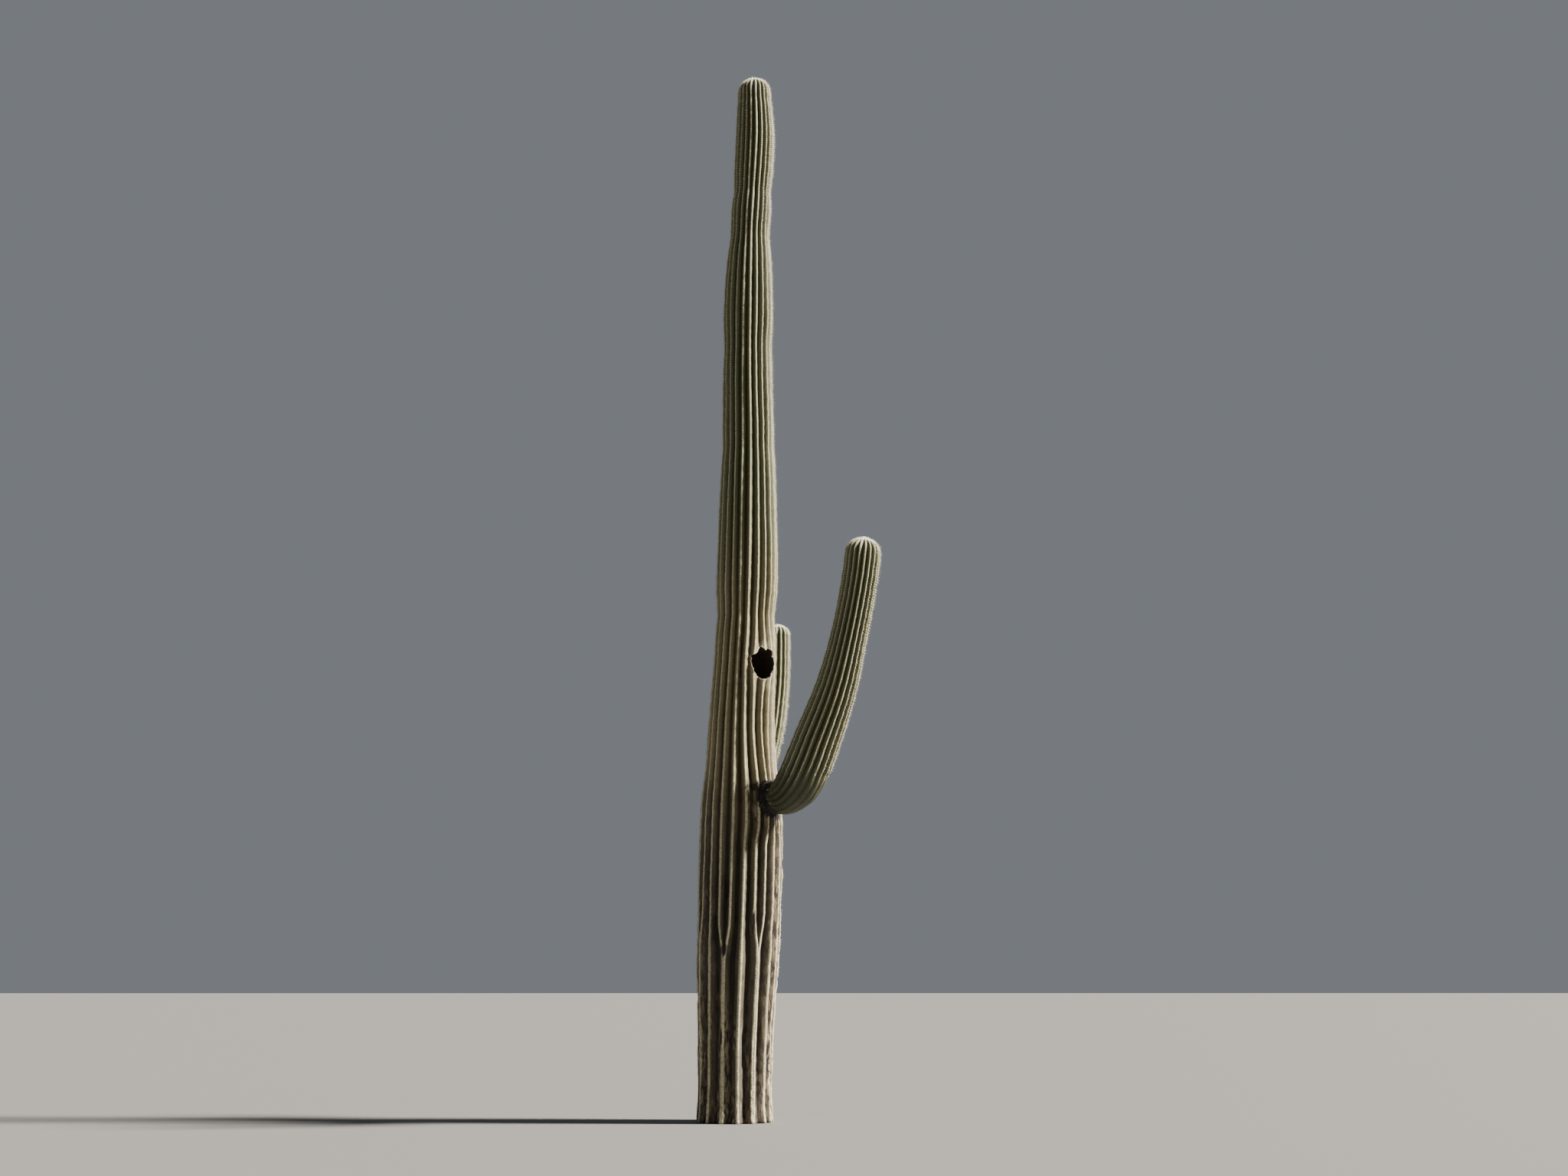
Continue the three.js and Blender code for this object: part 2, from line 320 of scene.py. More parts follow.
def smooth_table(stations, column):
    """One column of a table of stations as a smooth function of the first column."""
    table = np.array(stations, float)
    x, y = table[:, 0], table[:, column]
    before = np.maximum(np.arange(len(x)) - 1, 0)
    after = np.minimum(np.arange(len(x)) + 1, len(x) - 1)
    slopes = (y[after] - y[before]) / (x[after] - x[before])

    def value(at):
        i = np.clip(np.searchsorted(x, at) - 1, 0, len(x) - 2)
        span = x[i + 1] - x[i]
        t = np.clip((at - x[i]) / span, 0, 1)
        even = y[i] + (y[i + 1] - y[i]) * t * t * (3 - 2 * t)
        return even + t * (1 - t) * ((1 - t) * slopes[i] - t * slopes[i + 1]) * span

    return value


def bell(offset, width):
    """A bump that is 1 in the middle and fades to nothing a few widths away."""
    return np.exp(-((offset / width) ** 2))


def ramp(value, low, high):
    """0 at low, 1 at high and smooth between, also where low is the larger."""
    t = np.clip((value - low) / (high - low), 0, 1)
    return t * t * (3 - 2 * t)


def turned(angles, azimuth):
    """Angles as turns from an azimuth, from minus to plus half a turn."""
    return np.angle(np.exp(1j * (angles - azimuth)))


def unit(vectors):
    return vectors / np.linalg.norm(vectors, axis=-1, keepdims=True)


def cell_values(cells, seed):
    """A value from -1 to 1 for each cell of a grid in space, scattered but always the same for one seed."""
    key = np.bitwise_xor.reduce(cells.astype(np.uint64) * CELL_FACTORS, axis=-1)
    key = (key ^ np.uint64(seed * SEED_STEP + SEED_START)) & LOW_BITS
    for shift, factor in SCATTER_STEPS:
        key = ((key ^ (key >> np.uint64(shift))) * np.uint64(factor)) & LOW_BITS
    return key / np.float64(LOW_BITS) * 2 - 1


def noise(points, scale, seed=0):
    """Smooth random values from -1 to 1 at points in space, with features about as large as scale."""
    p = np.asarray(points, float) / scale
    cells = np.floor(p).astype(np.int64)
    t = p - cells
    t = t * t * (3 - 2 * t)
    total = 0
    for corner in np.ndindex(2, 2, 2):
        weight = np.prod(np.where(np.array(corner), t, 1 - t), axis=-1)
        total = total + cell_values(cells + corner, seed) * weight
    return total


def rough_noise(points, scale, seed):
    """Noise with finer and weaker noise on top."""
    return sum(noise(points, scale / 2**k, seed + k) / 2**k for k in range(3)) / 1.5


def lumps(points, shape, seed):
    height, size = shape
    return height * rough_noise(points, size, seed)


def cracks(points, shape, seed):
    """Cracks along the lines where noise is nothing, as negative heights."""
    depth, size, width = shape
    return -depth * ramp(np.abs(noise(points, size, seed)), width, 0.0)


def around(first, second, turn):
    """Directions at an angle from first towards second."""
    return first * np.cos(turn)[:, None] + second * np.sin(turn)[:, None]


def drawn_out(points, share):
    """Points with their heights pressed together, which draws the noise there out upwards."""
    return points * (1, 1, share)


class Limb:
    """A ribbed limb. Its line, radius and ribs depend on the place along it, from its foot to its tip."""

    def __init__(self, name, length, dome, ribs, seed):
        self.name = name
        self.length = length
        self.dome = dome
        self.ribs = ribs
        self.seed = seed

    def dome_share(self, places):
        """How much of its full radius the limb has left towards the tip of its dome."""
        up = np.clip(1 - (self.length - places) / self.dome, 0, 1)
        return np.sqrt(1 - up * up)

    def crests(self, places):
        """The angle of each rib's crest at each place, in rising order."""
        even = (np.arange(self.ribs) + 0.5) * FULL_TURN / self.ribs
        return np.broadcast_to(even, (len(places), self.ribs))

    def swelling(self, places, angles):
        """How far the skin swells out beyond its radius."""
        return np.zeros(len(places))

    def spacing(self, places, ribs, across):
        """A rib's crest, the gap to the next crest on the side of across, and its share of an even gap."""
        crests = self.crests(places)
        before = np.diff(crests, axis=1, prepend=crests[:, -1:] - FULL_TURN)
        after = np.roll(before, -1, axis=1)
        row = np.arange(len(places))
        gap = np.where(across < 0, before[row, ribs], after[row, ribs])
        return crests[row, ribs], gap, gap * self.ribs / FULL_TURN

    def find(self, places, angles):
        """The rib at each angle, and how far across it the angle lies."""
        apart = turned(angles[:, None], self.crests(places))
        ribs = np.abs(apart).argmin(axis=1)
        apart = apart[np.arange(len(places)), ribs]
        return ribs, np.clip(apart / self.spacing(places, ribs, apart)[1] * 2, -1, 1)

    def surface(self, places, ribs, across):
        """Points on the skin without its relief, the outward directions there and their angles.

        across runs from -1 in the valley before a rib over 0 on its crest to 1 in the valley after it.
        """
        crest, gap, share = self.spacing(places, ribs, across)
        angles = crest + across * gap / 2
        fall = np.sqrt(across**2 + CREST_ROUNDING**2) - CREST_ROUNDING
        fall = fall / (math.sqrt(1 + CREST_ROUNDING**2) - CREST_ROUNDING)
        rib_apart = 3.7
        spots = [ribs * rib_apart, places / WOBBLE_LENGTH, np.full(len(places), self.seed)]
        wobble = noise(np.stack(spots, axis=1), 1.0)
        drop = self.depth(places, angles) * np.minimum(WIDEST_SHARE, share)
        drop = drop * fall + CREST_WOBBLE * (wobble + 1) / 2 * (1 - fall)
        radius = self.radius(places) * (1 - drop) + self.swelling(places, angles)
        centre, first, second = self.line(places)
        out = around(first, second, angles)
        return centre + out * radius[:, None], out, angles

    def relief(self, points, places, marks):
        """How far the skin's lumps, growth bands, cracks, wounds and scabs stand out at points."""
        cork, wound, scab_and_shadow = marks["cork"], marks["wound"], marks["scab_and_shadow"]
        drift = BAND_DRIFT * np.sin(places * BAND_DRIFT_RATE)
        height = rough_noise(drawn_out(points, 0.5), LUMP_SIZE, seed=21) * (SKIN_LUMPS + CORK_LUMPS * cork)
        height = height + GROWTH_BANDS * np.sin(places * BAND_RATE + drift) * (1 - cork)
        height = height + cork * cracks(drawn_out(points, 0.3), CRACKS, seed=22)
        height = height + scab_and_shadow * lumps(points, SCAB_LUMPS, seed=23) - WOUND_DEPTH * wound
        return height * self.dome_share(places)


class Trunk(Limb):
    shift = staticmethod(smooth_table(TRUNK_STATIONS, 1))
    girth = staticmethod(smooth_table(TRUNK_STATIONS, 2))

    def __init__(self):
        super().__init__("trunk", TRUNK_HEIGHT, TRUNK_DOME, TRUNK_RIBS, seed=1)

    def line(self, places):
        back = TRUNK_BACK_SWAY * np.sin(places / TRUNK_HEIGHT * FULL_TURN)
        centre = np.stack([self.shift(places), back, places], axis=1)
        return centre, np.array([1.0, 0, 0]), np.array([0, 1.0, 0])

    def radius(self, places):
        waists = sum(depth * bell(places - at, width) for at, width, depth in TRUNK_WAISTS)
        girth = self.girth(np.minimum(places, self.length - self.dome))
        return (girth - waists) * self.dome_share(places)

    def fork(self, rib):
        """The height where the first two ribs of a rib's group fork, and whether they do."""
        group = rib // RIB_GROUP
        height = FORK_HEIGHT + FORK_STAGGER * np.sin(group * FORK_STAGGER_TURN)
        return height, (group + 1) * RIB_GROUP <= self.ribs

    def crests(self, places):
        """Even crests that sway a little, join below forks, part round the hole and gather at the arms."""
        rib = FULL_TURN / self.ribs
        angles = np.repeat(super().crests(places)[:1], len(places), axis=0)
        for i in range(self.ribs):
            fork, forks = self.fork(i)
            if forks and i % RIB_GROUP < 2:
                middle = (i // RIB_GROUP * RIB_GROUP + 1) * rib
                apart = JOINED_GAP + (1 - JOINED_GAP) * ramp(places, fork - FORK_REACH, fork + FORK_REACH)
                angles[:, i] = middle + (angles[:, i] - middle) * apart
        heights = places[:, None]
        sway = CREST_SWAY * np.sin(heights * SWAY_RATE + np.arange(self.ribs) * SWAY_STEP)
        angles = angles + RIB_TURN + sway * ramp(heights, 0, 0.5)
        turn = turned(angles, HOLE_AZIMUTH + PARTING_OFFSET)
        near = bell(turn, PARTING_TURN) * bell(heights - HOLE_HEIGHT, PARTING_REACH)
        angles = angles + PARTING * turn * near
        for arm in ARMS.values():
            turn = turned(angles, arm["azimuth"])
            near = bell(turn, GATHERING_TURN) * ramp(heights, *GATHER_TOP) * ramp(heights, *GATHER_FOOT)
            angles = angles - GATHERING * arm["collar"] * turn * near
        return angles

    def swelling(self, places, angles):
        turn = turned(angles, HOLE_AZIMUTH)
        return SWELLING * bell(places - HOLE_HEIGHT, SWELLING_HEIGHT) * bell(turn, SWELLING_TURN)

    def depth(self, places, angles):
        """Ribs are flatter at the hole's rim, and a little flatter on the old foot."""
        aside = turned(angles, HOLE_AZIMUTH) * RIM_TRUNK_RADIUS
        near = bell(np.hypot(aside, places - HOLE_HEIGHT), RIM_REACH)
        return RIB_DEPTH * (1 - RIM_FLATNESS * near) * (1 - FOOT_FLATNESS * ramp(places, FOOT_TOP, 0.0))

    def joined(self, places, rib):
        """Where a rib is the second of a pair and lies below their fork, so that the first one carries it."""
        fork, forks = self.fork(rib)
        return forks and rib % RIB_GROUP == 1 and places < fork - FORK_REACH / 2

    def patch(self, points, angles, spot, edge):
        """How far points lie inside one spot of a list of wounds or scabs, from 0 to 1."""
        turn, at, half_width, half_height = spot
        aside = turned(angles, math.radians(turn - 90)) * self.girth(points[:, 2])
        return ramp(1.1 - np.hypot(aside / half_width, (points[:, 2] - at) / half_height) + edge, 0, 0.25)

    def marks(self, points, places, angles):
        """Where the skin is cork, a wound or a scab (partly painted shade), with a scab and cork round each
        arm's foot.
        """
        height = points[:, 2]
        patches = rough_noise(drawn_out(points, 0.45), PATCH_SIZE, seed=11)
        cork = ramp(CORK_TOP - height + 0.8 * patches, -0.35, 0.55)
        cork = np.maximum(cork, 0.8 * ramp(patches - 0.13 * height, 0.30, 0.5))
        sunny = bell(turned(angles, WEATHERED_AZIMUTH), WEATHERED_TURN)
        sunny = sunny * ramp(height + 0.3 * patches, WEATHERED_TOP, WEATHERED_TOP - 0.5)
        cork = np.maximum(cork, ramp(sunny + 0.5 * patches, 0.35, 0.75))
        edge = lumps(points, SPOT_EDGE, seed=12)
        wound = np.max([self.patch(points, angles, spot, edge) for spot in WOUNDS], axis=0)
        # black patches beside the front arm's foot: partly scab, partly the arm's cast shadow painted on
        scab_and_shadow = np.max([self.patch(points, angles, spot, 2 * edge) for spot in SCABS_AND_ARM_SHADOW], axis=0)
        for arm in arms:
            foot = arm.line(np.array([arm.foot]))[0][0]
            near = np.linalg.norm(points - foot, axis=1) - arm.radius(np.array([arm.foot]))
            # the black scab ring round each arm's foot is partly painted shade where the arm meets the trunk
            scab_and_shadow = np.maximum(scab_and_shadow, ramp(0.036 * arm.collar - near + 0.06 * edge, -0.006, 0.006))
            below = ramp(height, foot[2], foot[2] - 0.08)
            cork = np.maximum(cork, below * ramp(0.14 * arm.collar - near + 0.12 * edge, -0.02, 0.05))
        return dict(cork=cork, wound=wound, scab_and_shadow=scab_and_shadow, smooth=np.zeros(len(points)))


def rounded_line(points, steps=60):
    """A centripetal curve through points, as closely spaced points."""
    p = np.array(points, float)
    p = np.vstack([2 * p[0] - p[1], p, 2 * p[-1] - p[-2]])
    t = np.linspace(0, 1, steps, endpoint=False)[:, None]
    line = []
    for a, b, c, d in zip(p, p[1:], p[2:], p[3:]):
        ab, bc, cd = (math.sqrt(np.linalg.norm(v)) for v in (b - a, c - b, d - c))
        start = bc * ((b - a) / ab - (c - a) / (ab + bc) + (c - b) / bc)
        end = bc * ((c - b) / bc - (d - b) / (bc + cd) + (d - c) / cd)
        square = 3 * (c - b) - 2 * start - end
        cube = 2 * (b - c) + start + end
        line.append(b + start * t + square * t**2 + cube * t**3)
    return np.vstack([*line, p[-2:-1]])


class Arm(Limb):
    def __init__(self, name, azimuth, line, girth, dome, ribs, foot, collar, seed):
        middle = trunk.line(np.array([line[0][1]]))[0][0] * (1, 1, 0)
        self.out = np.array([math.cos(azimuth), math.sin(azimuth), 0])
        self.side = np.cross(UP, self.out)
        self.points = rounded_line([middle + self.out * reach + UP * z for reach, z in line])
        steps = np.linalg.norm(np.diff(self.points, axis=0), axis=1)
        self.places = np.concatenate([[0], np.cumsum(steps)])
        self.tangents = unit(np.gradient(self.points, axis=0))
        self.girth = smooth_table(girth, 1)
        self.foot = foot
        self.collar = collar
        super().__init__(name, self.places[-1], dome, ribs, seed)

    def line(self, places):
        def at(values):
            return np.stack([np.interp(places, self.places, values[:, k]) for k in range(3)], axis=1)

        along = unit(at(self.tangents))
        return at(self.points), np.cross(self.side, along), np.broadcast_to(self.side, along.shape)

    def radius(self, places):
        return self.girth(places / self.length) * self.dome_share(places)

    def smoothness(self, places, angles):
        """How stretched and smooth the skin is: on the whole foot, and under the bend."""
        foot = ramp(places - self.foot, *STRETCHED_FOOT)
        under = ramp(np.cos(angles), -0.2, 0.8) * ramp(places - self.foot, *STRETCHED_UNDER)
        return np.maximum(0.75 * foot, under)

    def depth(self, places, angles):
        return RIB_DEPTH * (1 - 0.85 * self.smoothness(places, angles))

    def marks(self, points, places, angles):
        """Black scab round the foot, partly painted shade where the arm meets the trunk, with a ragged edge
        and a line of cork along it.
        """
        under = 0.5 + 0.5 * np.cos(angles)
        ragged = lumps(points, SCAB_EDGE, seed=31)
        reach = self.foot + (0.045 + 0.045 * under + ragged) * self.collar
        # the black scab at the foot is partly painted shade where the arm meets the trunk
        scab_and_shadow = ramp(places, reach, reach - 0.012)
        cork = ramp(places, reach + 0.025, reach)
        plain = 0.9 * ramp((places - self.foot) / self.collar, *PLAIN_BEND)
        smooth = np.maximum(plain, self.smoothness(places, angles))
        return dict(cork=cork, wound=np.zeros(len(points)), scab_and_shadow=scab_and_shadow, smooth=smooth)


trunk = Trunk()
arms = [Arm(name, **values, seed=k + 2) for k, (name, values) in enumerate(ARMS.items())]
hole_middle = trunk.line(np.array([HOLE_HEIGHT]))[0]


def new_mesh(name, materials, points, *faces, uv=None, attributes=None):
    """A mesh object from an array of points and arrays of faces, each array with faces of one size."""
    mesh = bpy.data.meshes.new(name)
    for material in materials:
        mesh.materials.append(material)
    mesh.vertices.add(len(points))
    mesh.vertices.foreach_set("co", np.asarray(points, np.float32).ravel())
    corners = np.concatenate([f.ravel() for f in faces])
    sizes = np.concatenate([np.full(len(f), f.shape[1]) for f in faces])
    mesh.loops.add(len(corners))
    mesh.loops.foreach_set("vertex_index", corners.astype(np.int32))
    mesh.polygons.add(len(sizes))
    mesh.polygons.foreach_set("loop_start", (np.cumsum(sizes) - sizes).astype(np.int32))
    for key, values in (attributes or {}).items():
        layer = mesh.attributes.new(key, "FLOAT", "POINT")
        layer.data.foreach_set("value", np.asarray(values, np.float32))
    if uv is not None:
        layer = mesh.uv_layers.new(name="OFBake")
        layer.uv.foreach_set("vector", np.asarray(uv, np.float32).ravel())
    mesh.update(calc_edges=True)
    mesh.validate()
    mesh.shade_smooth()
    obj = bpy.data.objects.new(name, mesh)
    bpy.context.scene.collection.objects.link(obj)
    return obj


def grid_faces(rows, columns):
    """Quads of a grid whose rows close on themselves."""
    here = np.arange((rows - 1) * columns).reshape(rows - 1, columns)
    right = np.roll(here, -1, axis=1)
    return np.stack([here, right, right + columns, here + columns], axis=-1).reshape(-1, 4)


def fan_faces(rows, columns, centre):
    """Triangles from the last row of such a grid to a point in its middle."""
    last = np.arange(columns) + (rows - 1) * columns
    return np.stack([last, np.roll(last, -1), np.full(columns, centre)], axis=1)


def strip_uv(faces, rows, columns, strips):
    """The unwrap of a grid, cut across into strips that fill a square of strips by strips."""
    row, column = faces[:, 0] // columns, faces[:, 0] % columns
    strip = np.minimum(row * strips**2 // rows, strips**2 - 1)
    first = -(-strip * rows // strips**2)
    across, along = ((0, 1, 1, 0), (0, 0, 1, 1)) if faces.shape[1] == 4 else ((0, 1, 0.5), (0, 0, 1))
    u = (column[:, None] + across) / columns
    v = ((row - first)[:, None] + along) / (rows / strips**2 + 1)
    cell = np.stack([strip % strips, strip // strips], axis=-1)[:, None]
    inner = UV_MARGIN + (1 - 2 * UV_MARGIN) * np.stack([u, v], axis=-1)
    return ((cell + inner) / strips).reshape(-1, 2)


def row_places(limb, start, step, fine=()):
    """Places for the rows of a limb's mesh: even steps, finer ones at fine spots and round the dome."""
    probe = np.linspace(start, limb.length - limb.dome, 4000)
    density = np.full(len(probe), 1 / step)
    for at, reach, fine_step in fine:
        density += (1 / fine_step - 1 / step) * np.clip(1.4 - np.abs(probe - at) / reach, 0, 1)
    rows = np.concatenate([[0], np.cumsum((density[1:] + density[:-1]) / 2 * np.diff(probe))])
    body = np.interp(np.linspace(0, rows[-1], int(rows[-1]) + 1), rows, probe)
    turn = np.linspace(0, math.pi / 2, int(limb.dome / step * 3) + 2)[1:-1]
    return np.concatenate([body, limb.length - limb.dome + limb.dome * np.sin(turn)])


def skin_grid(limb, places):
    """A limb's skin as a grid of points and faces, its tip as a fan, and what its material needs to know."""
    columns = limb.ribs * len(RIB_SAMPLES)
    across = np.tile(RIB_SAMPLES, limb.ribs * len(places))
    ribs = np.tile(np.repeat(np.arange(limb.ribs), len(RIB_SAMPLES)), len(places))
    at = np.repeat(places, columns)
    points, out, angles = limb.surface(at, ribs, across)
    marks = limb.marks(points, at, angles)
    points = points + out * limb.relief(points, at, marks)[:, None]
    tip = limb.line(np.array([limb.length]))[0]
    age = 1 - at / TRUNK_HEIGHT if limb is trunk else np.full(len(at), ARM_AGE)
    crown = ramp(limb.length - at, CROWN_FELT, 0.2 * CROWN_FELT)
    share = np.clip(2 * limb.spacing(at, ribs, across)[2] - 0.2, 0, 1)
    attributes = dict(
        crest=np.append(np.maximum(1 - np.abs(across) * share, crown), 1),
        age=np.append(age, age[-1]),
        **{key: np.append(values, 0) for key, values in marks.items()},
    )
    faces = grid_faces(len(places), columns)
    return np.vstack([points, tip]), faces, fan_faces(len(places), columns, len(points)), attributes


def hole_offset(points):
    """Where points lie from the nest hole's middle: to its right, above it and out along its axis."""
    return ((points - hole_middle) @ HOLE_AXES.T).T


def mouth_radius(turn):
    """The ragged outline of the hole's mouth, as its radius at an angle from its right side up."""
    share = 1 + MOUTH_RIGHT * np.cos(turn) + MOUTH_TALL * np.sin(turn) ** 2
    for waves in MOUTH_RIPPLES:
        share = share + MOUTH_RIPPLE * np.sin(waves * turn)
    for at, width, amount in MOUTH_TEETH:
        share = share + amount * bell(turned(turn, math.radians(at)), math.radians(width))
    return HOLE_RADIUS * share


def open_mouth(points, faces):
    """The trunk's faces without those in the hole's mouth, whose edge points move onto its outline."""
    right, above, forward = hole_offset(points)
    turn = np.arctan2(above, right)
    inside = (np.hypot(right, above) < mouth_radius(turn)) & (forward > 0)
    kept = faces[~inside[faces].all(axis=1)]
    edge = np.intersect1d(np.flatnonzero(inside), kept)
    turn = turn[edge]
    aside = mouth_radius(turn) * np.cos(turn)
    rise = mouth_radius(turn) * np.sin(turn)
    ahead = np.sqrt(np.hypot(right[edge], forward[edge]) ** 2 - aside**2)
    points[edge] = hole_middle + np.stack([aside, rise, ahead], axis=1) @ HOLE_AXES
    return kept


def build_trunk(skin):
    """The trunk's skin in one mesh, with an opening for the nest hole."""
    places = row_places(trunk, 0.0, TRUNK_ROW, TRUNK_FINE_ROWS)
    points, faces, cap, attributes = skin_grid(trunk, places)
    columns = TRUNK_RIBS * len(RIB_SAMPLES)
    faces = open_mouth(points, faces)
    cut = np.arange(columns)[::-1]
    turn = cut * FULL_TURN / columns
    cut_uv = CUT_UV_PLACE + CUT_UV_RADIUS * np.stack([np.cos(turn), np.sin(turn)], axis=1)
    uv = np.vstack([*(strip_uv(part, len(places), columns, 2) for part in (faces, cap)), cut_uv])
    faces = faces, cap, cut.reshape(1, -1)
    return new_mesh("trunk_skin", [skin], points, *faces, uv=uv, attributes=attributes)


def build_arm(arm, skin):
    """An arm's skin in one mesh, from inside the trunk to its tip."""
    places = row_places(arm, arm.foot - ARM_SUNK, ARM_ROW)
    points, faces, cap, attributes = skin_grid(arm, places)
    columns = arm.ribs * len(RIB_SAMPLES)
    uv = np.vstack([strip_uv(part, len(places), columns, 1) for part in (faces, cap)])
    return new_mesh(f"{arm.name}_skin", [skin], points, faces, cap, uv=uv, attributes=attributes)


def build_nest_lining(callus):
    """The hole's callus lip, which follows the skin, and the pocket behind it."""
    turn = np.arange(LIP_SIDES) * FULL_TURN / LIP_SIDES
    rows = []
    for share, proud in LIP_RINGS:
        aside, up = (share * mouth_radius(turn) * wave(turn) for wave in (np.cos, np.sin))
        heights = HOLE_HEIGHT + up
        angles = HOLE_AZIMUTH + np.arcsin(aside / (trunk.radius(heights) * 0.97 + SWELLING))
        skin, out, _ = trunk.surface(heights, *trunk.find(heights, angles))
        rows.append(skin + out * (proud + lumps(skin, LIP_LUMPS, seed=41))[:, None])
    _, _, front = hole_offset(rows[-1])
    lip = mouth_radius(turn) * LIP_RINGS[-1][0]
    for share, depth in POCKET_RINGS:
        even = ramp(depth, 0.0, POCKET_EVEN)
        radius = lip * (1 - even) + HOLE_RADIUS * share * even
        forward = front * (1 - even) + front.min() * even - depth
        offset = np.stack([radius * np.cos(turn), radius * np.sin(turn), forward], axis=1)
        row = hole_middle + offset @ HOLE_AXES
        rows.append(row + HOLE_OUT * lumps(row, POCKET_LUMPS, seed=42)[:, None])
    points = np.vstack([*rows, rows[-1].mean(axis=0, keepdims=True)])
    faces = grid_faces(len(rows), LIP_SIDES)[:, ::-1]
    cap = fan_faces(len(rows), LIP_SIDES, len(points) - 1)[:, ::-1]
    # inner marks the pocket and the lip's sunken rings, where the lining is painted almost black as shade
    inner = [ramp(proud, -0.002, -0.007) * (share < 1) for share, proud in LIP_RINGS]
    inner = np.append(np.repeat([*inner, *[1.0] * len(POCKET_RINGS)], LIP_SIDES), 1)
    return new_mesh("nest_lining", [callus], points, faces, cap, attributes=dict(inner=inner))


def build_collar(arm, cork):
    """The cracked cork round an arm's foot, with a ragged outer edge."""
    turn = np.arange(COLLAR_SIDES) * FULL_TURN / COLLAR_SIDES
    ragged = 1 + 0.35 * np.sin(turn * 2 + 1) + 0.25 * np.sin(turn * 5)
    rows = []
    for along, proud in COLLAR_RINGS:
        place = arm.foot + along * arm.collar * np.where(along > 0, ragged, 1)
        centre, first, second = arm.line(place)
        out = around(first, second, turn)
        row = centre + out * (arm.radius(place) * (1 - 0.1 * RIB_DEPTH) + proud * arm.collar)[:, None]
        relief = lumps(row, COLLAR_LUMPS, seed=51) + cracks(row, COLLAR_CRACKS, seed=52)
        rows.append(row + out * (relief * arm.collar)[:, None])
    return new_mesh(f"{arm.name}_collar", [cork], np.vstack(rows), grid_faces(len(rows), COLLAR_SIDES))


def areoles(limb):
    """Areoles on the crests: points, outward and upward directions, places and distances to the tip."""
    random = np.random.default_rng(AREOLE_SEED + limb.seed)
    start = getattr(limb, "foot", 0.0) + AREOLES_FROM
    turn = np.linspace(0, math.pi / 2, 40)[1:-1]
    probe = np.concatenate([
        np.linspace(start, limb.length - limb.dome, 900),
        limb.length - limb.dome + limb.dome * np.sin(turn),
    ])
    found = []
    for rib in range(limb.ribs):
        points, out, angles = limb.surface(probe, np.full(len(probe), rib), np.zeros(len(probe)))
        marks = limb.marks(points, probe, angles)
        points = points + out * limb.relief(points, probe, marks)[:, None]
        walked = np.concatenate([[0], np.cumsum(np.linalg.norm(np.diff(points, axis=0), axis=1))])
        to_tip = walked[-1] - walked
        step = TIP_AREOLE_STEP + (AREOLE_STEP - TIP_AREOLE_STEP) * ramp(to_tip, 0, TIP_REACH)
        number = np.concatenate([[0], np.cumsum(np.diff(walked) / ((step[1:] + step[:-1]) / 2))])
        picks = np.arange(random.uniform(0, 1), number[-1], 1.0)
        picks = np.clip(picks + random.uniform(-AREOLE_JITTER, AREOLE_JITTER, len(picks)), 0, number[-1])

        def at(values):
            columns = [np.interp(picks, number, column) for column in np.atleast_2d(values.T)]
            return np.stack(columns, axis=-1) if values.ndim > 1 else columns[0]

        up = unit(at(np.gradient(points, axis=0)))
        outward = at(out)
        outward = unit(outward - up * np.sum(outward * up, axis=1, keepdims=True))
        place = at(probe)
        bare = np.maximum(at(marks["wound"]), at(marks["scab_and_shadow"])) > 0.3
        lost = 0.5 * at(marks["cork"]) + 1.3 * at(marks["smooth"])
        keep = ~bare & (random.uniform(0, 1, len(picks)) > lost)
        if limb is trunk:
            right, above, forward = hole_offset(at(points))
            keep &= (np.hypot(right, above) > 1.2 * HOLE_RADIUS) | (forward < 0)
            keep &= np.logical_not(limb.joined(place, rib))
        found.append([values[keep] for values in (at(points), outward, up, place, at(to_tip))])
    return [np.concatenate(values) for values in zip(*found)]


def cone_mesh(name, corners, tips, groups, materials):
    """Small cones in one mesh, from rings of corners to tips, with a material for each group."""
    sides = len(corners)
    points = np.stack([*corners, tips], axis=1).reshape(-1, 3)
    start = np.arange(len(tips))[:, None] * (sides + 1)
    faces = np.concatenate([start + (k, (k + 1) % sides, sides) for k in range(sides)], axis=1).reshape(-1, 3)
    obj = new_mesh(name, materials, points, faces)
    obj.data.polygons.foreach_set("material_index", np.repeat(groups, sides).astype(np.int32))
    return obj


def ring_corners(bases, first, second, sides):
    """The corners of a ring round each base, whose half axes are first and second."""
    turns = [k * FULL_TURN / sides for k in range(sides)]
    return [bases + first * math.cos(turn) + second * math.sin(turn) for turn in turns]


def build_felt(limb, bases, outward, up, sizes, groups, materials):
    """A low pad of felt under each cluster of spines."""
    side = np.cross(up, outward) * sizes[:, None]
    corners = ring_corners(bases - outward * FELT_SUNK, side * FELT_WIDTH, up * FELT_HEIGHT, 6)
    tips = bases + outward * (FELT_PROUD * sizes**2)[:, None]
    return cone_mesh(f"{limb.name}_felt", corners, tips, groups, materials)


def spine_directions(outward, up, turn, spread, central, tuft):
    """Spines spread round the outward direction. Central ones droop, and the tip's tuft stands closer."""
    spread = spread * (1 - 0.45 * tuft)
    directions = around(outward, around(np.cross(up, outward), up, turn), spread)
    directions[:, 2] -= 0.22 * central * (1 - tuft)
    return unit(directions)


